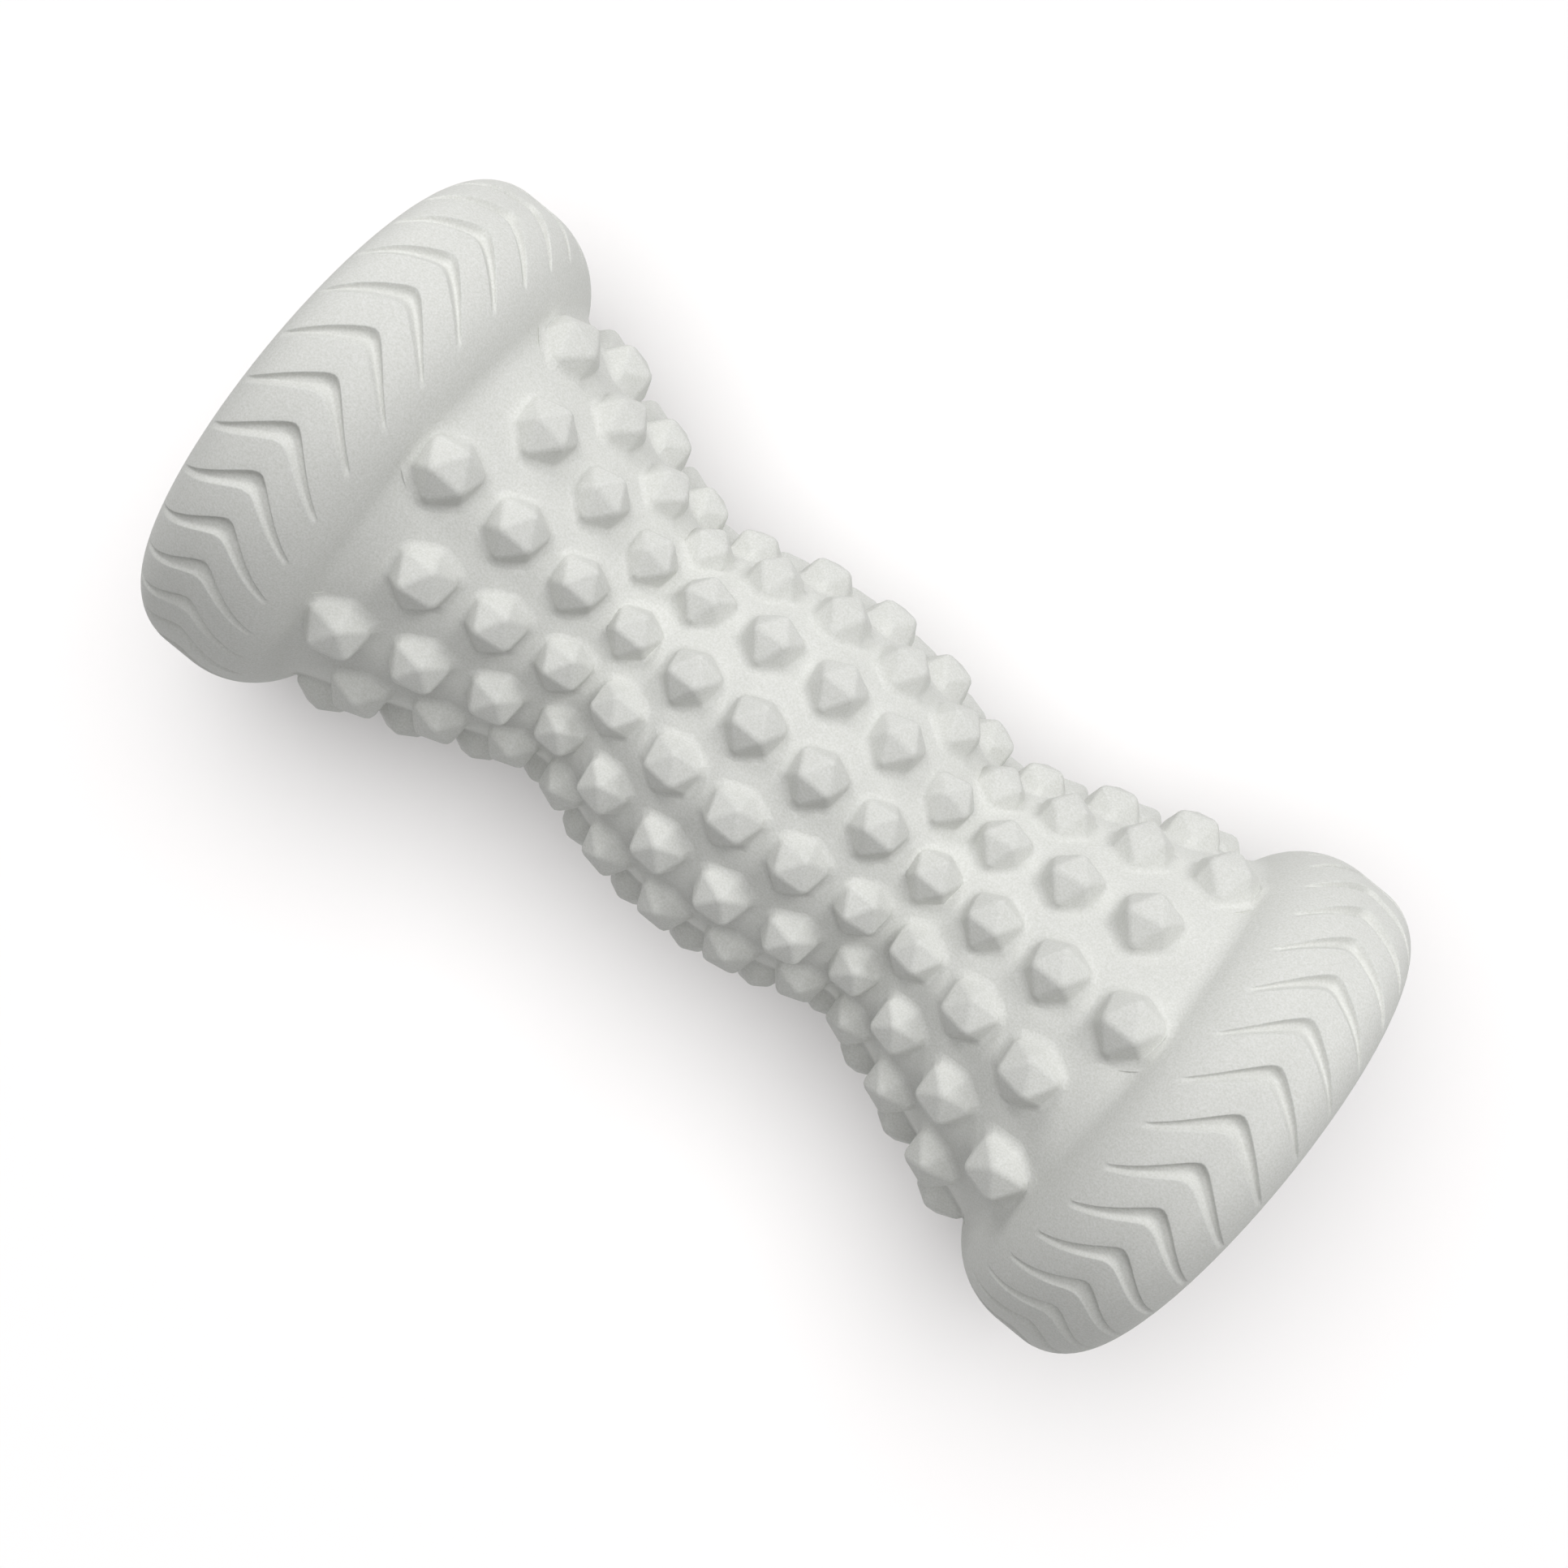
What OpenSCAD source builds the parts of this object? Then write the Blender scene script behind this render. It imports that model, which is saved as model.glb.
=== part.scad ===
// Moulded foam training bumper, lying along X with its open end at +X.
// Two treaded ends, a nubbed barrel between them, and a launch sleeve moulded into the core.

/* [Body] */
// Length from end face to end face
body_length = 200; // [190:1:240]
// Diameter over the tread at each end
tread_d = 95.6; // [92:0.1:104]
// Width of each level tread, from its shoulder to the end face
tread_width = 14; // [12:0.5:16]
// Radius of the shoulder that falls from the tread to the neck
shoulder_r = 14.5; // [13:0.5:17]
// Radius of the round on the outer edge of each end
edge_r = 8.7; // [5:0.1:10]
// Diameter of the cone at the neck
neck_d = 76.6; // [73:0.1:80]
// Distance of the neck from the end face
neck_inset = 27.6; // [26:0.1:30]
// Radius of the hollow at the neck
neck_fillet = 4.5; // [3:0.1:6]
// Slope of the cones between neck and waist, in degrees
cone_angle = 20.4; // [18:0.1:22]
// Diameter of the barrel's skin at the middle
barrel_d = 58.8; // [56:0.1:62]
// Radius of the barrel's crown, along the length
crown_r = 70; // [60:1:90]
// Radius of the hollow at each waist
waist_fillet = 11; // [8:0.5:14]

/* [Nubs] */
// Rows of nubs around the body, an even number so that neighbours are staggered
row_count = 14; // [10:2:18]
// Turn of the first row from straight up, in degrees
row_turn = 5; // [0:0.5:25]
// Edge of a nub's twenty triangles, on the middle of the barrel
nub_edge = 6; // [4.5:0.05:6.2]
// Growth of that edge for each millimetre of body radius
nub_growth = 0.095; // [0:0.005:0.15]
// Half of a row's pitch, in edges of the nub
nub_step = 1.045; // [1:0.005:1.4]

/* [Tread] */
// Grooves around each end
groove_count = 32; // [20:1:36]
// Turn of the first groove's bend from straight up, in degrees
groove_turn = 4; // [0:0.5:12]
// Distance of the bend from the end face
groove_bend = 12.7; // [11.5:0.1:14]
// Reach of the outer arm along the length
outer_reach = 10.2; // [7:0.1:10.5]
// Fall of the outer arm around the end
outer_fall = 7.8; // [5:0.1:10]
// Reach of the inner arm along the length
inner_reach = 9.2; // [7:0.1:12]
// Fall of the inner arm around the end
inner_fall = 9.2; // [5:0.1:11]
// Width of a groove at its bend
groove_width = 2.8; // [1.5:0.1:4]
// Width of a groove at the tips of its arms
groove_tip_width = 0.9; // [0.6:0.1:1.5]
// Depth of a groove at its bend
groove_depth = 1.6; // [0.8:0.1:2.5]
// Depth of a groove at the tips of its arms
groove_tip_depth = 0.6; // [0.4:0.1:1]

/* [Launch sleeve] */
// Bore that slides over the launching spigot
sleeve_bore_d = 20.6; // [16:0.1:24]
// Wall of the sleeve
sleeve_wall = 2.2; // [1.8:0.1:3]
// Length of the sleeve
sleeve_length = 150; // [120:1:160]
// Depth of the plug's seat in the blind end of the sleeve
seat_depth = 18; // [15:0.5:24]
// Step from the bore out to the plug's seat
seat_step = 0.5; // [0.3:0.1:0.8]

/* [Plug] */
// Thickness of the plug's head behind the sleeve
plug_head = 3; // [2:0.5:5]
// Section of the seal ring
seal_section = 1.8; // [1.4:0.1:2.4]
// Distance of the seal from the inner end of the plug
seal_inset = 5; // [4:0.5:6]
// Diameter of the spring pin through sleeve and plug
pin_d = 4; // [3:0.5:5]
// Wall of the rolled spring pin
pin_wall = 0.8; // [0.5:0.1:1]
// Width of the slot along the spring pin
pin_slot = 0.9; // [0.5:0.1:1.2]
// Distance of the pin from the blind end of the sleeve
pin_inset = 6; // [5:0.5:7]

/* [Mouth collar] */
// Diameter of the collar's flange
collar_flange_d = 46; // [40:0.5:56]
// Thickness of the collar's flange
collar_flange = 3; // [2:0.5:4]
// Length of the collar
collar_length = 17; // [14:0.5:24]
// Wall of the collar's hub
collar_wall = 3; // [2:0.5:5]
// Thickness of the lip over the sleeve's end
collar_lip = 2; // [1.5:0.1:2.5]
// Step from the sleeve's bore out to the lip
mouth_relief = 0.5; // [0.2:0.1:1]
// Lead-in around the mouth
collar_lead = 1.5; // [0.5:0.1:1.8]
// Barbs around the hub
barb_count = 3; // [2:1:4]
// Height of a barb
barb_height = 1.2; // [0.6:0.1:2]

/* [Anchor rings] */
// Diameter of the rings that lock the sleeve in the foam
anchor_d = 38; // [34:0.5:40]
// Thickness of a ring
anchor_thickness = 4; // [3:0.5:6]
// Distance of each ring from its end of the sleeve
anchor_inset = 36; // [32:1:40]
// Holes through a ring, which the foam fills
anchor_holes = 6; // [4:1:8]
// Diameter of those holes
anchor_hole_d = 3.6; // [2.5:0.1:4]

/* [Fits] */
// Slip between fitted metal pieces, on the radius
slip_fit = 0.05; // [0.02:0.01:0.15]
// Gap between the foam and what is moulded into it
foam_gap = 0.1; // [0.05:0.05:0.3]

/* [Hidden] */
$fn = 96;

foam_colour = [0.86, 0.87, 0.85];
metal_colour = [0.72, 0.73, 0.75];
collar_colour = [0.25, 0.26, 0.27];
rubber_colour = [0.1, 0.1, 0.1];
past = 1;
arc_steps = 8;
seal_room = 1.3;
barb_share = 0.7;

// Outline of the skin: tangent arcs and the straight cones between them
half = body_length / 2;
tread_r = tread_d / 2;
cone_rise = tan(cone_angle);
cone_start_r = neck_d / 2 - (half - neck_inset) * cone_rise;
crown_mid_r = barrel_d / 2 - crown_r;
shoulder_x = half - tread_width;
shoulder_mid_r = tread_r - shoulder_r;
edge_x = half - edge_r;
waist_x = fillet_x(0, crown_mid_r, waist_fillet, crown_r + waist_fillet, 1);
waist_mid_r = fillet_mid_r(waist_x, waist_fillet);
neck_x = fillet_x(shoulder_x, shoulder_mid_r, neck_fillet, shoulder_r + neck_fillet, -1);
neck_mid_r = fillet_mid_r(neck_x, neck_fillet);
crown_end_angle = atan2(waist_x, waist_mid_r - crown_mid_r);
shoulder_angle = atan2(neck_x - shoulder_x, neck_mid_r - shoulder_mid_r);
crown_end_x = crown_r * sin(crown_end_angle);
cone_from_x = waist_x + waist_fillet * sin(cone_angle);
cone_to_x = neck_x + neck_fillet * sin(cone_angle);
shoulder_from_x = shoulder_x + shoulder_r * sin(shoulder_angle);

// Places of the nubs from the middle outwards, each a step on from the last
nub_places = nub_places_from(0);

// The sleeve and what sits on it, along X
sleeve_d = sleeve_bore_d + 2 * sleeve_wall;
sleeve_front = half - collar_lip;
sleeve_rear = sleeve_front - sleeve_length;
seat_d = sleeve_bore_d + 2 * seat_step;
plug_d = seat_d - 2 * slip_fit;
plug_rear = sleeve_rear - plug_head;
plug_front = sleeve_rear + seat_depth - slip_fit;
seal_mid_r = seat_d / 2 - slip_fit - seal_section / 2;
seal_x = plug_front - seal_inset;
seal_groove = seal_room * seal_section;
pin_x = sleeve_rear + pin_inset;
mouth_d = sleeve_bore_d + 2 * mouth_relief;
hub_d = sleeve_d + 2 * (slip_fit + collar_wall);
hub_rear = half - collar_length;
barb_pitch = (collar_length - collar_flange) / (barb_count + 1);
anchor_front_x = sleeve_front - anchor_inset;
anchor_rear_x = sleeve_rear + anchor_inset;
anchor_bore_d = sleeve_d + 2 * slip_fit;
anchor_hole_mid_r = (anchor_bore_d + anchor_d) / 4;

// Where a fillet that rests on the cone also touches a round of the skin
function fillet_x(round_x, round_r, fillet, reach, side) =
    let (lift = cone_start_r + cone_rise * round_x + fillet / cos(cone_angle) - round_r)
    let (grade = 1 + cone_rise * cone_rise)
    let (root = sqrt(grade * reach * reach - lift * lift))
    round_x + (side * root - cone_rise * lift) / grade;

function fillet_mid_r(x, fillet) = cone_start_r + cone_rise * x + fillet / cos(cone_angle);

// Points of an arc as radius and length, with angles from straight out
function arc(x, r, radius, from, to) =
    [for (i = [0:arc_steps])
        let (a = from + (to - from) * i / arc_steps)
        [r + radius * cos(a), x + radius * sin(a)]];

function half_outline() = concat(
    arc(0, crown_mid_r, crown_r, 0, crown_end_angle),
    arc(waist_x, waist_mid_r, waist_fillet, 180 + crown_end_angle, 180 - cone_angle),
    arc(neck_x, neck_mid_r, neck_fillet, 180 - cone_angle, 180 + shoulder_angle),
    arc(shoulder_x, shoulder_mid_r, shoulder_r, shoulder_angle, 0),
    arc(edge_x, tread_r - edge_r, edge_r, 0, 90)
);

// Radius of an arc's skin, at a distance from its middle
function arc_rise(radius, away) = sqrt(max(0, radius * radius - away * away));

// Radius of the skin at a place along the length
function skin_r(place) =
    let (x = abs(place))
    x < crown_end_x ? crown_mid_r + arc_rise(crown_r, x)
    : x < cone_from_x ? waist_mid_r - arc_rise(waist_fillet, x - waist_x)
    : x < cone_to_x ? cone_start_r + cone_rise * x
    : x < shoulder_from_x ? neck_mid_r - arc_rise(neck_fillet, x - neck_x)
    : x < shoulder_x ? shoulder_mid_r + arc_rise(shoulder_r, x - shoulder_x)
    : x < edge_x ? tread_r
    : tread_r - edge_r + arc_rise(edge_r, x - edge_x);

// Nubs stand on the barrel and on the cones, which run on under the neck
function nub_seat_r(x) = x < cone_from_x ? skin_r(x) : cone_start_r + cone_rise * x;

function nub_tilt(x) =
    x < crown_end_x ? -asin(x / crown_r)
    : x < cone_from_x ? asin((x - waist_x) / waist_fillet)
    : cone_angle;

function nub_edge_at(x) = nub_edge + nub_growth * (nub_seat_r(x) - barrel_d / 2);

function nub_places_from(x) =
    x > half - neck_inset ? [] : concat([x], nub_places_from(x + nub_step * nub_edge_at(x)));

function ring_of_three(radius, turn, height) =
    [for (i = [0:2]) [radius * cos(turn + 120 * i), radius * sin(turn + 120 * i), height]];

module lay_along_x() {
    translate([0, 0, tread_r]) rotate([0, 90, 0]) children();
}

module disc(d, from, to) {
    translate([0, 0, from]) cylinder(d = d, h = to - from);
}

// Regular twenty-faced solid, one face outwards with a corner leading round the body
module nub(edge) {
    golden = (1 + sqrt(5)) / 2;
    face_r = edge / sqrt(3);
    belt_r = golden * face_r;
    face_height = golden * golden * face_r / 2;
    belt_height = (golden - 1) * face_r / 2;
    points = concat(
        ring_of_three(face_r, 90, face_height),
        ring_of_three(belt_r, 150, belt_height),
        ring_of_three(belt_r, 90, -belt_height),
        ring_of_three(face_r, 150, -face_height)
    );
    caps = [[0, 2, 1], [9, 10, 11]];
    upper = [for (i = [0:2]) let (n = (i + 1) % 3) [i, n, 3 + i]];
    upper_belt = [for (i = [0:2]) [i, 3 + i, 6 + i]];
    upper_belt_next = [for (i = [0:2]) let (n = (i + 1) % 3) [n, 6 + n, 3 + i]];
    lower_belt = [for (i = [0:2]) [3 + i, 9 + i, 6 + i]];
    lower_belt_next = [for (i = [0:2]) let (n = (i + 1) % 3) [3 + i, 6 + n, 9 + i]];
    lower = [for (i = [0:2]) let (p = (i + 2) % 3) [6 + i, 9 + i, 9 + p]];
    polyhedron(points,
        concat(caps, upper, upper_belt, upper_belt_next, lower_belt, lower_belt_next, lower));
}

module placed_nub(x, side) {
    translate([side * x, 0, nub_seat_r(x)])
        rotate([0, -side * nub_tilt(x), 0])
            nub(nub_edge_at(x));
}

module nub_rows() {
    for (row = [0:row_count - 1])
        translate([0, 0, tread_r])
            rotate([-row_turn - row * 360 / row_count, 0, 0])
                for (i = [0:len(nub_places) - 1])
                    if ((i + row) % 2 == 1)
                        for (side = i == 0 ? [1] : [-1, 1])
                            placed_nub(nub_places[i], side);
}

// Cross-section of a groove at t, from the outer tip at -1 over the bend at 0 to the inner tip at 1
function groove_section(t) =
    let (bend_round = 0.12)
    let (s = abs(t))
    let (x = half - groove_bend + (t < 0 ? outer_reach : -inner_reach) * s)
    let (run = (sqrt(s * s + bend_round * bend_round) - bend_round)
        / (sqrt(1 + bend_round * bend_round) - bend_round))
    let (fall = (t < 0 ? outer_fall : inner_fall) * run)
    let (width = groove_width + (groove_tip_width - groove_width) * s)
    let (depth = groove_depth + (groove_tip_depth - groove_depth) * s)
    let (flare = (depth + past) / depth)
    let (floor_share = 0.35)
    let (floor_fall = fall + floor_share * width)
    let (top_r = skin_r(x) + past)
    [
        round_point(x, top_r, floor_fall - floor_share * width * flare),
        round_point(x, top_r, floor_fall + (1 - floor_share) * width * flare),
        round_point(x, skin_r(x) - depth, floor_fall)
    ];

// Point at a radius, turned back from straight up by a length around the tread
function round_point(x, r, fall) =
    let (a = -fall / tread_r * 180 / PI)
    [x, r * sin(a), r * cos(a)];

module groove() {
    stations = [-1, -0.7, -0.45, -0.25, -0.1, 0, 0.1, 0.25, 0.45, 0.7, 1];
    last = len(stations) - 1;
    points = [for (t = stations) each groove_section(t)];
    walls = [for (i = [0:last - 1], k = [0:2])
        let (a = 3 * i + k)
        let (b = 3 * i + (k + 1) % 3)
        each [[a, b, a + 3], [b, b + 3, a + 3]]];
    ends = [[0, 2, 1], [3 * last, 3 * last + 1, 3 * last + 2]];
    polyhedron(points, concat(walls, ends));
}

module tread_grooves() {
    for (i = [0:groove_count - 1], side = [0, 1])
        translate([0, 0, tread_r])
            rotate([-groove_turn - i * 360 / groove_count, 0, 0])
                mirror([side, 0, 0])
                    groove();
}

module skin_blank() {
    outline = half_outline();
    last = len(outline) - 1;
    mirrored = [for (i = [last:-1:1]) [outline[i][0], -outline[i][1]]];
    lay_along_x()
        rotate_extrude()
            polygon(concat([[0, -half]], mirrored, outline, [[0, half]]));
}

// Outside of the mouth collar, grown by a gap for its pocket in the foam
module collar_blank(grow) {
    lay_along_x() {
        disc(collar_flange_d + 2 * grow, half - collar_flange - grow, half + (grow > 0 ? past : 0));
        disc(hub_d + 2 * grow, hub_rear - grow, half - collar_flange / 2);
        for (i = [0:barb_count - 1])
            translate([0, 0, hub_rear + i * barb_pitch - grow])
                cylinder(
                    d1 = hub_d + 2 * grow,
                    d2 = hub_d + 2 * (barb_height + grow),
                    h = barb_pitch * barb_share + 2 * grow
                );
    }
}

module anchor_blank(x, grow) {
    lay_along_x()
        disc(anchor_d + 2 * grow, x - anchor_thickness / 2 - grow, x + anchor_thickness / 2 + grow);
}

// Columns of the holes through a ring, narrowed by a gap where foam fills them
module anchor_columns(x, shrink, overrun) {
    reach = anchor_thickness / 2 + overrun;
    lay_along_x()
        for (i = [0:anchor_holes - 1])
            rotate(i * 360 / anchor_holes)
                translate([anchor_hole_mid_r, 0, 0])
                    disc(anchor_hole_d - 2 * shrink, x - reach, x + reach);
}

module anchor_ring(x) {
    color(metal_colour)
        difference() {
            anchor_blank(x, 0);
            lay_along_x() disc(anchor_bore_d, x - anchor_thickness, x + anchor_thickness);
            anchor_columns(x, 0, past);
        }
}

module foam_body() {
    color(foam_colour) {
        difference() {
            union() {
                skin_blank();
                nub_rows();
            }
            tread_grooves();
            collar_blank(foam_gap);
            lay_along_x() disc(sleeve_d + 2 * foam_gap, plug_rear - foam_gap, half);
            difference() {
                anchor_blank(anchor_front_x, foam_gap);
                anchor_columns(anchor_front_x, foam_gap, past);
            }
            difference() {
                anchor_blank(anchor_rear_x, foam_gap);
                anchor_columns(anchor_rear_x, foam_gap, past);
            }
        }
    }
}

module launch_sleeve() {
    color(metal_colour)
        difference() {
            lay_along_x() disc(sleeve_d, sleeve_rear, sleeve_front);
            lay_along_x() disc(sleeve_bore_d, sleeve_rear - past, sleeve_front + past);
            lay_along_x() disc(seat_d, sleeve_rear - past, sleeve_rear + seat_depth);
            translate([pin_x, 0, tread_r]) cylinder(d = pin_d + 2 * slip_fit, h = 2 * sleeve_d, center = true);
        }
}

module mouth_collar() {
    color(collar_colour)
        difference() {
            collar_blank(0);
            lay_along_x() disc(sleeve_d + 2 * slip_fit, hub_rear - past, sleeve_front);
            lay_along_x() disc(mouth_d, hub_rear, half + past);
            lay_along_x()
                translate([0, 0, half - collar_lead])
                    cylinder(d1 = mouth_d, d2 = mouth_d + 2 * (collar_lead + past), h = collar_lead + past);
        }
}

module sleeve_plug() {
    color(metal_colour)
        difference() {
            lay_along_x() {
                disc(sleeve_d, plug_rear, sleeve_rear);
                disc(plug_d, plug_rear, plug_front);
            }
            lay_along_x()
                difference() {
                    disc(sleeve_d, seal_x - seal_groove / 2, seal_x + seal_groove / 2);
                    disc(2 * (seal_mid_r - seal_section / 2 - slip_fit), plug_rear, plug_front);
                }
            translate([pin_x, 0, tread_r]) cylinder(d = pin_d + 2 * slip_fit, h = 2 * sleeve_d, center = true);
        }
}

module plug_seal() {
    color(rubber_colour)
        lay_along_x()
            translate([0, 0, seal_x])
                rotate_extrude()
                    translate([seal_mid_r, 0])
                        circle(d = seal_section, $fn = 48);
}

module plug_pin() {
    pin_length = sleeve_d - 2 * slip_fit;
    color(metal_colour)
        translate([pin_x, 0, tread_r])
            difference() {
                cylinder(d = pin_d, h = pin_length, center = true);
                cylinder(d = pin_d - 2 * pin_wall, h = pin_length + past, center = true);
                translate([pin_d / 2, 0, 0]) cube([pin_d, pin_slot, pin_length + past], center = true);
            }
}

module anchor_ring_front() {
    anchor_ring(anchor_front_x);
}

module anchor_ring_rear() {
    anchor_ring(anchor_rear_x);
}

foam_body();
launch_sleeve();
mouth_collar();
sleeve_plug();
plug_seal();
plug_pin();
anchor_ring_front();
anchor_ring_rear();
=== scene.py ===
import math

import bmesh
import bpy
from bpy.props import FloatProperty, FloatVectorProperty, IntProperty, PointerProperty
from mathutils import Euler, Matrix, Vector


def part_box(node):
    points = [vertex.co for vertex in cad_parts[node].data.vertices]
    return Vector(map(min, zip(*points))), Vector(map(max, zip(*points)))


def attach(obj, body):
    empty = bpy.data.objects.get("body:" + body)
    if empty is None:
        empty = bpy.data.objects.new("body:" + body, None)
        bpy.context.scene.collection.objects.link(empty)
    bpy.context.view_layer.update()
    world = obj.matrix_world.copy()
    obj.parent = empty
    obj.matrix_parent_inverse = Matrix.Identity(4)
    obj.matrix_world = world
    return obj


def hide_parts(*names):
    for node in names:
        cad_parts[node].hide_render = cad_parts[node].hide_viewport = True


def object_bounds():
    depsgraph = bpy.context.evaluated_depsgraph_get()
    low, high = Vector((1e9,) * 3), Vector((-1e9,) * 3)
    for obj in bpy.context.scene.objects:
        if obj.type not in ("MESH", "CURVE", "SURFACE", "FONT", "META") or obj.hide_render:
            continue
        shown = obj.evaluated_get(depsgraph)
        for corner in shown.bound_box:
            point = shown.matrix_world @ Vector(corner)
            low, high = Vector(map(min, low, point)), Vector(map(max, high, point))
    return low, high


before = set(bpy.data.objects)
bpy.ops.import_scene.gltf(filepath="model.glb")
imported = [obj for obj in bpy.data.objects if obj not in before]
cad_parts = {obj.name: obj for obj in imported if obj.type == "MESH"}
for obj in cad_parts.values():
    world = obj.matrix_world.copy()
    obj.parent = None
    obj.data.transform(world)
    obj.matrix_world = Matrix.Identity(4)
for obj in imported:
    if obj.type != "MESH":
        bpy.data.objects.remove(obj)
CAD_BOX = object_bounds()

bl_info = {
    "name": "Training bumper",
    "version": (1, 0, 0),
    "blender": (4, 5, 0),
    "location": "View3D > Sidebar > Bumper",
    "description": "Foam skin, nubs, core finishes and studio for a moulded training bumper",
    "category": "Object",
}

BODY = "root"
MM = 0.001
FULL_TURN = 2 * math.pi
SAME_PLACE = 0.001 * MM  # points of the skin closer than this are merged
FACE_PULL = 60  # how far large faces set the shading of the corners they share
WHITE = (1, 1, 1, 1)


def length(name, description, default):
    return FloatProperty(
        name=name, description=description, default=default, precision=5, unit="LENGTH"
    )


def angle(name, description, degrees):
    return FloatProperty(
        name=name, description=description, default=math.radians(degrees), subtype="ANGLE"
    )


def amount(name, description, default):
    return FloatProperty(name=name, description=description, default=default, precision=4)


def tone(name, description, default):
    return FloatVectorProperty(
        name=name, description=description, default=default, size=3, min=0, max=1, subtype="COLOR"
    )


class BumperBodySizes(bpy.types.PropertyGroup):
    """Outline of the moulded body."""

    half: length("Half length", "From the middle to an end face", CAD_BOX[1].x)
    tread_r: length("Tread radius", "Radius over the tread at each end", CAD_BOX[1].z / 2)
    tread_width: length("Tread width", "From the shoulder to the end face", 14 * MM)
    shoulder_r: length("Shoulder", "Radius of the shoulder between tread and neck", 14.5 * MM)
    edge_r: length("End round", "Radius of the round on the outer edge", 8.7 * MM)
    neck_r: length("Neck radius", "Radius of the cone at the neck", 38.3 * MM)
    neck_inset: length("Neck inset", "Distance of the neck from the end face", 27.6 * MM)
    neck_fillet: length("Neck fillet", "Radius of the hollow at the neck", 4.5 * MM)
    cone_angle: angle("Cone angle", "Slope of the cones between neck and waist", 20.4)
    barrel_r: length("Barrel radius", "Radius of the skin at the middle", 29.4 * MM)
    crown_r: length("Crown", "Radius of the barrel along its length", 70 * MM)
    waist_fillet: length("Waist fillet", "Radius of the hollow at each waist", 11 * MM)
    gap: length("Core gap", "Gap between the foam and the core moulded into it", 0.1 * MM)


class BumperNubSizes(bpy.types.PropertyGroup):
    """Nubs on the barrel and the cones."""

    rows: IntProperty(name="Rows", description="Rows of nubs around the body", default=14)
    turn: angle("Turn", "Turn of the first row from straight up", 5)
    edge: length("Edge", "Edge of a nub's triangles on the middle of the barrel", 6 * MM)
    growth: amount("Growth", "Growth of the edge with the radius of the body", 0.095)
    step: amount("Step", "Half of a row's pitch, in edges of the nub", 1.045)
    rounding: amount("Rounding", "Rounding of a nub's edges, in edges of the nub", 0.095)
    fillet: amount("Fillet", "Width of the hollow at a nub's foot, in edges of the nub", 0.2)


class BumperTreadSizes(bpy.types.PropertyGroup):
    """Bent grooves around each end."""

    count: IntProperty(name="Grooves", description="Grooves around each end", default=32)
    turn: angle("Turn", "Turn of the first bend from straight up", 4)
    bend: length("Bend", "Distance of the bend from the end face", 12.7 * MM)
    outer_reach: length("Outer reach", "Reach of the outer arm along the length", 10.2 * MM)
    outer_fall: length("Outer fall", "Fall of the outer arm around the end", 7.8 * MM)
    inner_reach: length("Inner reach", "Reach of the inner arm along the length", 9.2 * MM)
    inner_fall: length("Inner fall", "Fall of the inner arm around the end", 9.2 * MM)
    bend_round: amount("Bend round", "Softness of the bend, in reaches of an arm", 0.12)
    width: length("Width", "Width of a groove at its bend", 2.8 * MM)
    tip_width: length("Tip width", "Width of a groove at the tips of its arms", 0.9 * MM)
    depth: length("Depth", "Depth of a groove at its bend", 1.6 * MM)
    tip_depth: length("Tip depth", "Depth of a groove at the tips of its arms", 0.6 * MM)


class BumperFinish(bpy.types.PropertyGroup):
    """Colours and grain."""

    foam: tone("Foam", "Moulded foam", (0.725, 0.73, 0.7))
    foam_pale: tone("Foam, pale", "Paler clouds in the foam", (0.765, 0.77, 0.74))
    metal: tone("Metal", "Sleeve, plug and rings", (0.60, 0.61, 0.63))
    steel: tone("Steel", "Spring pin", (0.45, 0.45, 0.47))
    collar: tone("Collar", "Moulded collar at the mouth", (0.05, 0.05, 0.055))
    rubber: tone("Rubber", "Seal ring", (0.02, 0.02, 0.02))
    grain: length("Grain", "Size of the foam's grain", 0.35 * MM)


class BumperStage(bpy.types.PropertyGroup):
    """Camera, lamps and floor."""

    camera_place: FloatVectorProperty(
        name="Camera",
        description="Place of the camera",
        default=(0.00355, -0.00138, 0.48746),
        subtype="XYZ",
    )
    camera_turn: FloatVectorProperty(
        name="Camera turn",
        description="Turn of the camera",
        default=(math.radians(0.058), math.radians(0.07), math.radians(39.219)),
        subtype="EULER",
    )
    lens: amount("Lens", "Focal length in millimetres on a 36 mm sensor", 60.4)
    overhead: amount("Overhead", "Power of the wide softbox over the part", 9.8)
    key: amount("Key", "Power of the softbox on the far side", 3.1)
    kicker: amount("Kicker", "Power of the softbox past the closed end", 2.4)
    wash: amount("Wash", "Strength of the wide light on the floor alone", 3.26)
    wash_spread: angle("Wash spread", "Spread of the wide light on the floor", 60)
    fill: amount("Fill", "Strength of the light from all round", 0.12)
    floor: tone("Floor", "Pale floor", (0.62, 0.62, 0.62))
    floor_seen: tone("Floor, seen", "Floor where it is seen directly", (0.885, 0.87, 0.87))


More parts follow.
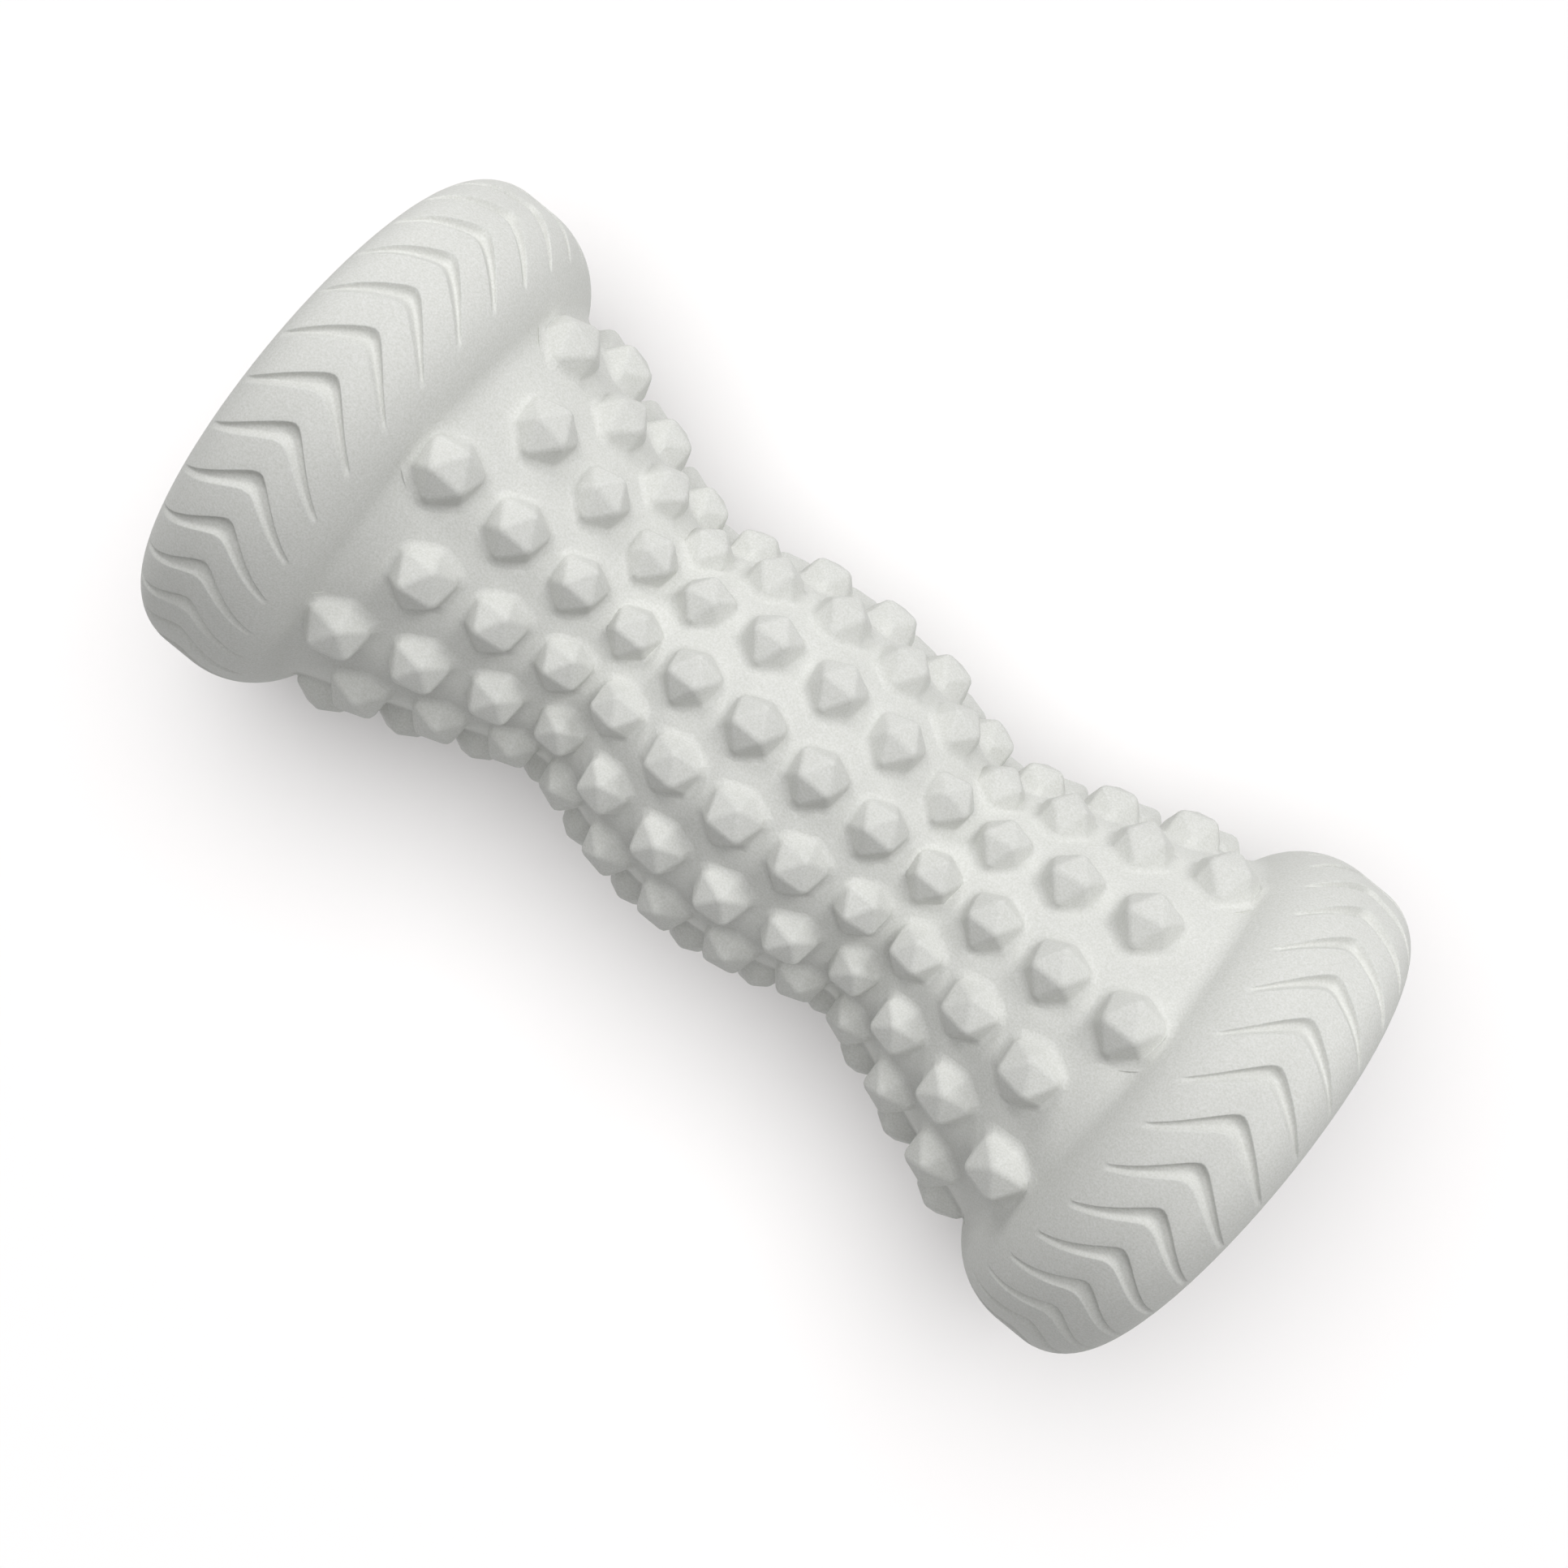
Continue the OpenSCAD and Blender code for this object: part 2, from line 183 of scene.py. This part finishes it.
class Outline:
    """Tangent arcs and straight cones that make up the skin, from the body's sizes."""

    CROWN_STEPS = 14
    WAIST_STEPS = 8
    CONE_STEPS = 4
    NECK_STEPS = 8
    SHOULDER_STEPS = 26
    TREAD_STEPS = 7
    EDGE_STEPS = 16

    def __init__(self, body):
        self.body = body
        self.rise = math.tan(body.cone_angle)
        self.cone_r = body.neck_r - (body.half - body.neck_inset) * self.rise
        self.crown = (0.0, body.barrel_r - body.crown_r)
        self.shoulder = (body.half - body.tread_width, body.tread_r - body.shoulder_r)
        self.edge = (body.half - body.edge_r, body.tread_r - body.edge_r)
        self.waist = self.fillet(self.crown, body.waist_fillet, body.crown_r, 1)
        self.neck = self.fillet(self.shoulder, body.neck_fillet, body.shoulder_r, -1)
        self.crown_angle = math.atan2(self.waist[0], self.waist[1] - self.crown[1])
        self.shoulder_angle = math.atan2(
            self.neck[0] - self.shoulder[0], self.neck[1] - self.shoulder[1]
        )
        lean = math.sin(body.cone_angle)
        self.crown_to = body.crown_r * math.sin(self.crown_angle)
        self.cone_from = self.waist[0] + body.waist_fillet * lean
        self.cone_to = self.neck[0] + body.neck_fillet * lean
        self.shoulder_from = self.shoulder[0] + body.shoulder_r * math.sin(self.shoulder_angle)

    def fillet(self, round_middle, fillet, round_r, side):
        """Middle of a fillet that rests on the cone and touches a round of the skin."""
        above_cone = fillet / math.cos(self.body.cone_angle)
        lift = self.on_cone(round_middle[0]) + above_cone - round_middle[1]
        grade = 1 + self.rise**2
        root = math.sqrt(grade * (round_r + fillet) ** 2 - lift**2)
        x = round_middle[0] + (side * root - self.rise * lift) / grade
        return x, self.on_cone(x) + above_cone

    def on_cone(self, x):
        return self.cone_r + self.rise * x

    def radius(self, place):
        """Radius of the skin at a place along the length."""
        x, body = abs(place), self.body
        if x < self.crown_to:
            return self.crown[1] + math.sqrt(body.crown_r**2 - x**2)
        if x < self.cone_from:
            return self.waist[1] - math.sqrt(body.waist_fillet**2 - (x - self.waist[0]) ** 2)
        if x < self.cone_to:
            return self.on_cone(x)
        if x < self.shoulder_from:
            return self.neck[1] - math.sqrt(body.neck_fillet**2 - (x - self.neck[0]) ** 2)
        if x < self.shoulder[0]:
            return self.shoulder[1] + math.sqrt(body.shoulder_r**2 - (x - self.shoulder[0]) ** 2)
        if x < self.edge[0]:
            return body.tread_r
        return self.edge[1] + math.sqrt(max(0.0, body.edge_r**2 - (x - self.edge[0]) ** 2))

    def arc(self, middle, radius, start, end, steps):
        """Places and radii along an arc, with angles from straight out."""
        turns = [start + (end - start) * i / steps for i in range(steps + 1)]
        return [(middle[0] + radius * math.sin(a), middle[1] + radius * math.cos(a)) for a in turns]

    def straight(self, start, end, steps):
        """Places and radii between the ends of a straight run of the skin."""
        places = [start + (end - start) * i / steps for i in range(1, steps)]
        return [(x, self.radius(x)) for x in places]

    def half_rows(self):
        """Rows of the skin from the middle to the flat of an end face."""
        body = self.body
        from_crown = math.pi + self.crown_angle
        on_cone = math.pi - body.cone_angle
        to_shoulder = math.pi + self.shoulder_angle
        rows = self.arc(self.crown, body.crown_r, 0, self.crown_angle, self.CROWN_STEPS)
        rows += self.arc(self.waist, body.waist_fillet, from_crown, on_cone, self.WAIST_STEPS)[1:]
        rows += self.straight(self.cone_from, self.cone_to, self.CONE_STEPS)
        rows += self.arc(self.neck, body.neck_fillet, on_cone, to_shoulder, self.NECK_STEPS)
        rows += self.arc(
            self.shoulder, body.shoulder_r, self.shoulder_angle, 0, self.SHOULDER_STEPS
        )[1:]
        rows += self.straight(self.shoulder[0], self.edge[0], self.TREAD_STEPS)
        rows += self.arc(self.edge, body.edge_r, 0, math.pi / 2, self.EDGE_STEPS)
        return rows


def around(x, r, turn):
    """Point at a place along the axis, at a radius, turned from straight up towards +Y."""
    return Vector((x, r * math.sin(turn), r * math.cos(turn)))


class Groove:
    """Path and section of the tread's bent grooves."""

    # Lines along a groove, from its steep wall down and out over its far lip:
    # share of the width, offset in millimetres and share of the depth
    SECTION = (
        (0.0, -0.45, 0.0),
        (0.0, -0.12, 0.07),
        (0.06, 0.0, 0.55),
        (0.17, 0.05, 0.95),
        (0.42, 0.2, 1.0),
        (0.62, 0.4, 0.76),
        (0.85, 0.6, 0.33),
        (1.0, 0.7, 0.03),
        (1.0, 1.0, 0.0),
    )
    TIP_SPREAD = 0.7  # share of the section's offsets that is left at the tips
    RUN_OUT = 1.0 * MM  # length past a tip over which the groove fades
    LAND_LINES = 3  # lines on the land between two grooves
    LINES = len(SECTION) + LAND_LINES

    def __init__(self, body, tread):
        self.body, self.tread = body, tread
        self.pitch = FULL_TURN * body.tread_r / tread.count

    def along(self, x):
        """Share of its arm at which a place lies, 0 at the bend, and the arm's reach and fall."""
        tread = self.tread
        offset = abs(x) - (self.body.half - tread.bend)
        if offset > 0:
            return offset / tread.outer_reach, tread.outer_reach, tread.outer_fall
        return -offset / tread.inner_reach, tread.inner_reach, tread.inner_fall

    def fall(self, x):
        """How far the groove has fallen around the end at a place along the length."""
        s, reach, fall = self.along(x)
        soft = self.tread.bend_round
        s = min(s, 1 + self.RUN_OUT / reach)
        return fall * (math.hypot(s, soft) - soft) / (math.hypot(1, soft) - soft)

    def line(self, x, number):
        """Offset around the tread and depth of one of the lines that run along the grooves."""
        tread = self.tread
        s, reach, _ = self.along(x)
        inside = min(s, 1.0)
        width = tread.width + (tread.tip_width - tread.width) * inside
        depth = tread.depth + (tread.tip_depth - tread.depth) * inside
        depth *= max(0.0, 1 - max(0.0, s - 1) * reach / self.RUN_OUT)
        spread = (1 + (self.TIP_SPREAD - 1) * inside) * MM
        if number < len(self.SECTION):
            across, offset, down = self.SECTION[number]
            return across * width + offset * spread, down * depth
        first = width + self.SECTION[-1][1] * spread
        last = self.pitch + self.SECTION[0][1] * spread
        part = (number - len(self.SECTION) + 1) / (self.LAND_LINES + 1)
        return first + (last - first) * part, 0.0


def finished_piece(name, bm, material):
    """Mesh object from a bmesh, smooth, riding on the part."""
    mesh = bpy.data.meshes.new(name)
    bm.to_mesh(mesh)
    bm.free()
    for polygon in mesh.polygons:
        polygon.use_smooth = True
    mesh.materials.append(material)
    piece = bpy.data.objects.new(name, mesh)
    bpy.context.scene.collection.objects.link(piece)
    weighted = piece.modifiers.new("Facet normals", "WEIGHTED_NORMAL")
    weighted.mode = "FACE_AREA"
    weighted.weight = FACE_PULL
    weighted.keep_sharp = True
    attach(piece, BODY)
    return piece


class NodeTree:
    """Nodes of a material or of the sky."""

    def __init__(self, owner):
        owner.use_nodes = True
        self.nodes, self.links = owner.node_tree.nodes, owner.node_tree.links

    def feed(self, node, inputs):
        """Set a node's inputs to values, or join them to the outputs of other nodes."""
        for name, value in inputs.items():
            if isinstance(value, bpy.types.NodeSocket):
                self.links.new(value, node.inputs[name])
            else:
                node.inputs[name].default_value = value

    def add(self, kind, output, inputs, **settings):
        """Output of a new node."""
        node = self.nodes.new("ShaderNode" + kind)
        for name, value in settings.items():
            setattr(node, name, value)
        self.feed(node, inputs)
        return node.outputs[output]

    def place(self):
        return self.add("TexCoord", "Object", {})

    def noise(self, place, size, detail, roughness=0.5):
        """Noise whose features are about a given size."""
        inputs = {"Vector": place, "Scale": 1 / size, "Detail": detail, "Roughness": roughness}
        return self.add("TexNoise", "Fac", inputs)

    def mix(self, factor, a, b, blend="MIX"):
        inputs = {"Factor": factor, "A": a, "B": b}
        return self.add("Mix", "Result", inputs, data_type="RGBA", blend_type=blend)

    def span(self, value, low, high):
        return self.add("MapRange", "Result", {"Value": value, "To Min": low, "To Max": high})

    def bump(self, height, strength, distance):
        inputs = {"Height": height, "Strength": strength, "Distance": distance}
        return self.add("Bump", "Normal", inputs)

    def seen_directly(self):
        """Socket that is 1 for what the camera sees, also in a mirror or through glass."""
        path = self.nodes.new("ShaderNodeLightPath")
        seen = path.outputs["Is Camera Ray"]
        for name in ("Is Glossy Ray", "Is Transmission Ray"):
            ways = {0: seen, 1: path.outputs[name]}
            seen = self.add("Math", "Value", ways, operation="MAXIMUM")
        return seen


def new_material(name):
    material = bpy.data.materials.new(name)
    tree = NodeTree(material)
    return material, tree, tree.nodes["Principled BSDF"]


def foam_material(finish):
    """Pale moulded foam: fine skin grain over slow clouds of tone."""
    name = "moulded_foam"
    if name in bpy.data.materials:
        return bpy.data.materials[name]
    material, tree, shader = new_material(name)
    place = tree.place()
    clouds = tree.noise(place, size=18 * MM, detail=3)
    grain = tree.noise(place, size=finish.grain, detail=4, roughness=0.6)
    tint = tree.mix(clouds, (*finish.foam, 1), (*finish.foam_pale, 1))
    speckled = tree.mix(factor=0.7, a=tint, b=grain, blend="OVERLAY")
    inputs = {
        "Base Color": speckled,
        "Normal": tree.bump(grain, strength=0.25, distance=0.12 * MM),
        "Roughness": 0.78,
        "Specular IOR Level": 0.3,
    }
    tree.feed(shader, inputs)
    return material


def machined_material(name, colour, roughness):
    """Turned metal: fine rings of tool marks along the axis and a little staining."""
    material, tree, shader = new_material(name)
    place = tree.place()
    stretched = tree.add("Mapping", "Vector", {"Vector": place, "Scale": (1, 0.05, 0.05)})
    marks = tree.noise(stretched, size=0.25 * MM, detail=2)
    stains = tree.noise(place, size=6 * MM, detail=3)
    inputs = {
        "Base Color": (*colour, 1),
        "Metallic": 1,
        "Roughness": tree.span(stains, low=roughness - 0.07, high=roughness + 0.1),
        "Normal": tree.bump(marks, strength=0.2, distance=0.03 * MM),
    }
    tree.feed(shader, inputs)
    return material


def moulded_material(name, colour, grain, roughness):
    """Moulded plastic or rubber with a fine eroded grain."""
    material, tree, shader = new_material(name)
    place = tree.place()
    texture = tree.noise(place, size=grain, detail=3)
    wear = tree.noise(place, size=9 * MM, detail=2)
    inputs = {
        "Base Color": (*colour, 1),
        "Roughness": tree.span(wear, low=roughness - 0.08, high=roughness + 0.08),
        "Normal": tree.bump(texture, strength=0.35, distance=0.06 * MM),
    }
    tree.feed(shader, inputs)
    return material


FLANGE_DEPTH = 3 * MM  # depth of the collar's flange in the end face
HUB_SHARE = 0.74  # radius of the pocket behind the flange, in radii of the flange


def core_rows(body, collar, sleeve, plug, rings):
    """Rows of the pocket that the core fills, from the mouth's end face to the blind end."""
    gap = body.gap
    axis_z = body.tread_r
    flange_r = collar[1].z - axis_z + gap
    hub_r = flange_r * HUB_SHARE
    flange_x = body.half - FLANGE_DEPTH - gap
    sleeve_r = sleeve[1].z - axis_z + gap
    rows = [(body.half, flange_r), (flange_x, flange_r), (flange_x, hub_r)]
    rows += [(collar[0].x - gap, hub_r), (collar[0].x - gap, sleeve_r)]
    for low, high in sorted(rings, key=lambda ring: -ring[0].x):
        ring_r = high.z - axis_z + gap
        rows += [(high.x + gap, sleeve_r), (high.x + gap, ring_r)]
        rows += [(low.x - gap, ring_r), (low.x - gap, sleeve_r)]
    rows += [(plug[0].x - gap, sleeve_r), (plug[0].x - gap, 0.0)]
    return rows


class BUMPER_OT_foam_skin(bpy.types.Operator):
    """Spin the skin of the foam body and press the bent grooves into its treads"""

    bl_idname = "bumper.foam_skin"
    bl_label = "Foam skin"

    FACE_SHARES = (0.3, 0.2, 0.1, 0.0)  # radii of the rows on a flat end face, in half lengths

    def execute(self, context):
        scene = context.scene
        body, tread = scene.bumper_body, scene.bumper_tread
        groove = Groove(body, tread)
        half_rows = Outline(body).half_rows()
        face_r = [body.half * share for share in self.FACE_SHARES]
        rows = [(-body.half, r) for r in reversed(face_r)]
        rows += [(-x, r) for x, r in reversed(half_rows)] + half_rows[1:]
        rows += [(body.half, face_r[0])]
        rings = [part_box("anchor_ring_front"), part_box("anchor_ring_rear")]
        collar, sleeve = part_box("mouth_collar"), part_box("launch_sleeve")
        rows += core_rows(body, collar, sleeve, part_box("sleeve_plug"), rings)
        skin_rows = range(len(face_r), len(face_r) + 2 * len(half_rows) - 1)

        bm = bmesh.new()
        row_layer = bm.verts.layers.int.new("row")
        chain = []
        for number, (x, r) in enumerate(rows):
            vert = bm.verts.new(around(x, r, -groove.fall(x) / body.tread_r))
            vert[row_layer] = number
            chain.append(vert)
        edges = [bm.edges.new(pair) for pair in zip(chain, chain[1:])]
        lines = tread.count * Groove.LINES
        bmesh.ops.spin(
            bm,
            geom=chain + edges,
            cent=(0, 0, 0),
            axis=(1, 0, 0),
            angle=FULL_TURN,
            steps=lines,
            use_merge=True,
        )
        spacing = FULL_TURN / lines
        for vert in bm.verts:
            number = vert[row_layer]
            if number not in skin_rows:
                continue
            x, r = rows[number]
            start = -groove.fall(x) / body.tread_r
            turned = (start - math.atan2(vert.co.y, vert.co.z)) % FULL_TURN
            line = round(turned / spacing) % lines
            offset, depth = groove.line(x, line % Groove.LINES)
            turn = start + tread.turn - (line // Groove.LINES) * FULL_TURN / tread.count
            vert.co = around(x, r - depth, turn - offset / body.tread_r)
        bmesh.ops.translate(bm, verts=bm.verts, vec=(0, 0, body.tread_r))
        bmesh.ops.remove_doubles(bm, verts=bm.verts, dist=SAME_PLACE)
        bmesh.ops.recalc_face_normals(bm, faces=bm.faces)
        piece = finished_piece("foam_skin", bm, foam_material(scene.bumper_finish))
        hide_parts("foam_body")
        return {"FINISHED"}


GOLDEN = (1 + math.sqrt(5)) / 2
# A twenty-faced solid with edges of length 1 that lies on a face: distance of its corners from
# its middle, and height of its upper middle corners above it
CORNER_R = math.sin(math.radians(72))
MIDDLE_CORNERS = (GOLDEN - 1) / math.sqrt(12)
FOOT_SHARE = 0.7  # height at which a nub's foot begins, in heights of its middle corners

# Rings of a nub's foot, from the nub outwards and then down into the foam: step outwards in
# widths of the fillet, share of the height kept and lift off the skin in millimetres
FOOT_RINGS = (
    (0.3, 0.3, 0.0),
    (0.7, 0.0, 0.02),
    (0.6, 0.0, -0.05),
    (0.0, 0.0, -1.5),
)


def face_up_nub(rounding, fillet):
    """Mesh of one nub: a twenty-faced solid on its face, rounded, with a flared foot."""
    bm = bmesh.new()
    bmesh.ops.create_icosphere(bm, subdivisions=1, radius=CORNER_R)
    bm.faces.ensure_lookup_table()
    top = bm.faces[0]
    up = top.normal.copy()
    lead = (top.verts[0].co - top.calc_center_median()).normalized()
    turn = Matrix((lead.cross(up), lead, up))
    bmesh.ops.transform(bm, matrix=turn.to_4x4(), verts=bm.verts)
    bmesh.ops.bevel(
        bm,
        geom=bm.edges[:],
        offset=rounding,
        offset_type="OFFSET",
        segments=2,
        profile=0.5,
        affect="EDGES",
        material=-1,
        clamp_overlap=True,
    )
    bmesh.ops.bisect_plane(
        bm,
        geom=bm.verts[:] + bm.edges[:] + bm.faces[:],
        plane_co=(0, 0, MIDDLE_CORNERS * FOOT_SHARE),
        plane_no=(0, 0, 1),
        clear_inner=True,
    )
    ring_layer = bm.verts.layers.int.new("ring")
    rim = [edge for edge in bm.edges if edge.is_boundary]
    for ring, (out, _, _) in enumerate(FOOT_RINGS, start=1):
        made = bmesh.ops.extrude_edge_only(bm, edges=rim)["geom"]
        if not out:
            for edge in rim:
                edge.smooth = False
        rim = [item for item in made if isinstance(item, bmesh.types.BMEdge) and item.is_boundary]
        for vert in [item for item in made if isinstance(item, bmesh.types.BMVert)]:
            vert[ring_layer] = ring
            flat = Vector((vert.co.x, vert.co.y, 0))
            vert.co += flat.normalized() * fillet * out
    bmesh.ops.edgeloop_fill(bm, edges=rim)
    mesh = bpy.data.meshes.new("nub_pattern")
    bm.to_mesh(mesh)
    bm.free()
    return mesh


class BUMPER_OT_nubs(bpy.types.Operator):
    """Set staggered rows of nubs on the barrel and the cones"""

    bl_idname = "bumper.nubs"
    bl_label = "Nubs"

    def execute(self, context):
        scene = context.scene
        body, nubs = scene.bumper_body, scene.bumper_nubs
        outline = Outline(body)
        pattern = face_up_nub(nubs.rounding, nubs.fillet)
        places, x = [], 0.0
        while x <= body.half - body.neck_inset:
            places.append(x)
            x += nubs.step * self.edge_at(outline, nubs, x)

        bm = bmesh.new()
        ring_layer = bm.verts.layers.int.new("ring")
        for row in range(nubs.rows):
            turn = nubs.turn + row * FULL_TURN / nubs.rows
            for number, place in enumerate(places):
                if (number + row) % 2 == 0:
                    continue
                for side in (-1, 1) if number else (1,):
                    self.add_nub(bm, ring_layer, pattern, outline, nubs, side * place, turn)
        bpy.data.meshes.remove(pattern)
        bmesh.ops.recalc_face_normals(bm, faces=bm.faces)
        bmesh.ops.translate(bm, verts=bm.verts, vec=(0, 0, body.tread_r))
        piece = finished_piece("foam_nubs", bm, foam_material(scene.bumper_finish))
        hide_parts("foam_body")
        return {"FINISHED"}

    def seat(self, outline, x):
        """Radius and slope of the skin that a nub stands on."""
        x, body = abs(x), outline.body
        if x < outline.crown_to:
            return outline.radius(x), -math.asin(x / body.crown_r)
        if x < outline.cone_from:
            return outline.radius(x), math.asin((x - outline.waist[0]) / body.waist_fillet)
        return outline.on_cone(x), body.cone_angle

    def edge_at(self, outline, nubs, x):
        return nubs.edge + nubs.growth * (self.seat(outline, x)[0] - outline.body.barrel_r)

    def add_nub(self, bm, ring_layer, pattern, outline, nubs, x, turn):
        """Stand a copy of the pattern square to the skin and lay its foot on the skin."""
        radius, slope = self.seat(outline, x)
        edge = self.edge_at(outline, nubs, x)
        lean = math.copysign(slope, slope * (x or 1))
        stand = (
            Matrix.Rotation(-turn, 4, "X")
            @ Matrix.Translation((x, 0, radius))
            @ Matrix.Rotation(-lean, 4, "Y")
            @ Matrix.Scale(edge, 4)
        )
        known = len(bm.verts)
        bm.from_mesh(pattern)
        bm.verts.ensure_lookup_table()
        added = bm.verts[known:]
        bmesh.ops.transform(bm, matrix=stand, verts=added)
        for vert in added:
            ring = vert[ring_layer]
            if ring:
                _, kept, lift = FOOT_RINGS[ring - 1]
                skin = outline.radius(vert.co.x)
                r = skin + kept * (math.hypot(vert.co.y, vert.co.z) - skin) + lift * MM
                vert.co = around(vert.co.x, r, math.atan2(vert.co.y, vert.co.z))


class BUMPER_OT_core_finish(bpy.types.Operator):
    """Give the sleeve, collar, plug, seal, pin and rings their finishes"""

    bl_idname = "bumper.core_finish"
    bl_label = "Core finishes"

    def execute(self, context):
        finish = context.scene.bumper_finish
        metal = machined_material("turned_aluminium", finish.metal, roughness=0.34)
        steel = machined_material("spring_steel", finish.steel, roughness=0.3)
        plastic = moulded_material(
            "collar_plastic", finish.collar, grain=0.35 * MM, roughness=0.5
        )
        rubber = moulded_material("seal_rubber", finish.rubber, grain=0.2 * MM, roughness=0.6)
        finishes = {
            "launch_sleeve": metal,
            "sleeve_plug": metal,
            "anchor_ring_front": metal,
            "anchor_ring_rear": metal,
            "plug_pin": steel,
            "mouth_collar": plastic,
            "plug_seal": rubber,
        }
        for node, material in finishes.items():
            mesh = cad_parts[node].data
            mesh.materials.clear()
            mesh.materials.append(material)
        return {"FINISHED"}


class BUMPER_OT_stage(bpy.types.Operator):
    """Set the floor, the lamps, the sky and the camera"""

    bl_idname = "bumper.stage"
    bl_label = "Stage"

    # Way from the part, distance and size of each softbox
    SOFTBOXES = {
        "overhead": (Vector((0, 0.1045, 0.9945)), 1.45, 1.2),
        "key": (Vector((0.251, 0.661, 0.707)), 1.0, 0.35),
        "kicker": (Vector((-0.695, 0.414, 0.588)), 1.0, 0.35),
    }
    WASH_WAY = Vector((-0.11, 0.1345, 0.9848))
    WASH_DISTANCE = 1.45
    FLOOR_R = 6
    SENSOR_WIDTH = 36
    CLIP_START = 0.01

    def execute(self, context):
        scene = context.scene
        stage = scene.bumper_stage
        scene.view_settings.view_transform = "Standard"
        floor = self.floor(scene, stage)
        self.sky(scene, stage)
        on_part = [
            self.softbox(scene, name, getattr(stage, name), *place)
            for name, place in self.SOFTBOXES.items()
        ]
        wash = bpy.data.lights.new("wash", "SUN")
        wash.energy = stage.wash
        wash.angle = stage.wash_spread
        on_floor = [self.aimed(scene, wash, self.WASH_WAY, self.WASH_DISTANCE)]
        self.share_lamps(floor, on_part, "EXCLUDE")
        self.share_lamps(floor, on_floor, "INCLUDE")
        camera = bpy.data.objects.new("camera", bpy.data.cameras.new("camera"))
        camera.data.sensor_width = self.SENSOR_WIDTH
        camera.data.lens = stage.lens
        camera.data.clip_start = self.CLIP_START
        camera.location = stage.camera_place
        camera.rotation_euler = Euler(stage.camera_turn)
        scene.collection.objects.link(camera)
        scene.camera = camera
        return {"FINISHED"}

    def softbox(self, scene, name, power, way, distance, size):
        """Square lamp that shines on the part from one way."""
        data = bpy.data.lights.new(name, "AREA")
        data.shape = "SQUARE"
        data.size = size
        data.energy = power
        return self.aimed(scene, data, way, distance)

    def aimed(self, scene, data, way, distance):
        """Lamp that stands off in one direction and points at the part."""
        lamp = bpy.data.objects.new(data.name, data)
        lamp.location = Vector((0, 0, CAD_BOX[1].z / 2)) + way * distance
        lamp.rotation_euler = way.to_track_quat("Z", "Y").to_euler()
        lamp.visible_camera = False
        scene.collection.objects.link(lamp)
        return lamp

    def share_lamps(self, floor, lamps, state):
        """Keep lamps off the floor, or on the floor alone."""
        group = bpy.data.collections.new("floor_" + state.lower())
        group.objects.link(floor)
        group.collection_objects[0].light_linking.link_state = state
        for lamp in lamps:
            lamp.light_linking.receiver_collection = group

    def floor(self, scene, stage):
        """Matt disc, paler where it is seen than where it throws light back on the part."""
        bm = bmesh.new()
        bmesh.ops.create_circle(bm, cap_ends=True, segments=96, radius=self.FLOOR_R)
        mesh = bpy.data.meshes.new("floor")
        bm.to_mesh(mesh)
        bm.free()
        material, tree, shader = new_material("pale_floor")
        colour = tree.mix(tree.seen_directly(), (*stage.floor, 1), (*stage.floor_seen, 1))
        tree.feed(shader, {"Base Color": colour, "Roughness": 1, "Specular IOR Level": 0})
        mesh.materials.append(material)
        floor = bpy.data.objects.new("floor", mesh)
        scene.collection.objects.link(floor)
        return floor

    def sky(self, scene, stage):
        """Weak even light that is white where it is seen."""
        scene.world = bpy.data.worlds.new("studio")
        tree = NodeTree(scene.world)
        light = tree.nodes["Background"]
        tree.feed(light, {"Color": WHITE, "Strength": stage.fill})
        white = tree.add("Background", "Background", {"Color": WHITE})
        ways = {"Fac": tree.seen_directly(), 1: light.outputs["Background"], 2: white}
        mixed = tree.add("MixShader", "Shader", ways)
        tree.feed(tree.nodes["World Output"], {"Surface": mixed})


class BUMPER_PT_panel(bpy.types.Panel):
    """Sizes, finishes and steps of the training bumper"""

    bl_idname = "BUMPER_PT_panel"
    bl_label = "Training bumper"
    bl_space_type = "VIEW_3D"
    bl_region_type = "UI"
    bl_category = "Bumper"

    def draw(self, context):
        layout = self.layout
        for name, (_, title) in SETTINGS.items():
            box = layout.box()
            box.label(text=title)
            settings = getattr(context.scene, name)
            for setting in settings.bl_rna.properties.keys():
                if setting not in ("rna_type", "name"):
                    box.prop(settings, setting)
        for operator in STEPS:
            layout.operator(operator.bl_idname)


STEPS = (BUMPER_OT_stage, BUMPER_OT_foam_skin, BUMPER_OT_nubs, BUMPER_OT_core_finish)
SETTINGS = {
    "bumper_body": (BumperBodySizes, "Body"),
    "bumper_nubs": (BumperNubSizes, "Nubs"),
    "bumper_tread": (BumperTreadSizes, "Tread"),
    "bumper_finish": (BumperFinish, "Finish"),
    "bumper_stage": (BumperStage, "Stage"),
}


def register():
    for name, (group, _) in SETTINGS.items():
        bpy.utils.register_class(group)
        setattr(bpy.types.Scene, name, PointerProperty(type=group))
    for entry in STEPS + (BUMPER_PT_panel,):
        bpy.utils.register_class(entry)


def unregister():
    for entry in reversed(STEPS + (BUMPER_PT_panel,)):
        bpy.utils.unregister_class(entry)
    for name, (group, _) in reversed(SETTINGS.items()):
        delattr(bpy.types.Scene, name)
        bpy.utils.unregister_class(group)


def main():
    register()
    bpy.ops.bumper.stage()
    bpy.ops.bumper.foam_skin()
    bpy.ops.bumper.nubs()
    bpy.ops.bumper.core_finish()


if __name__ == "__main__":
    main()
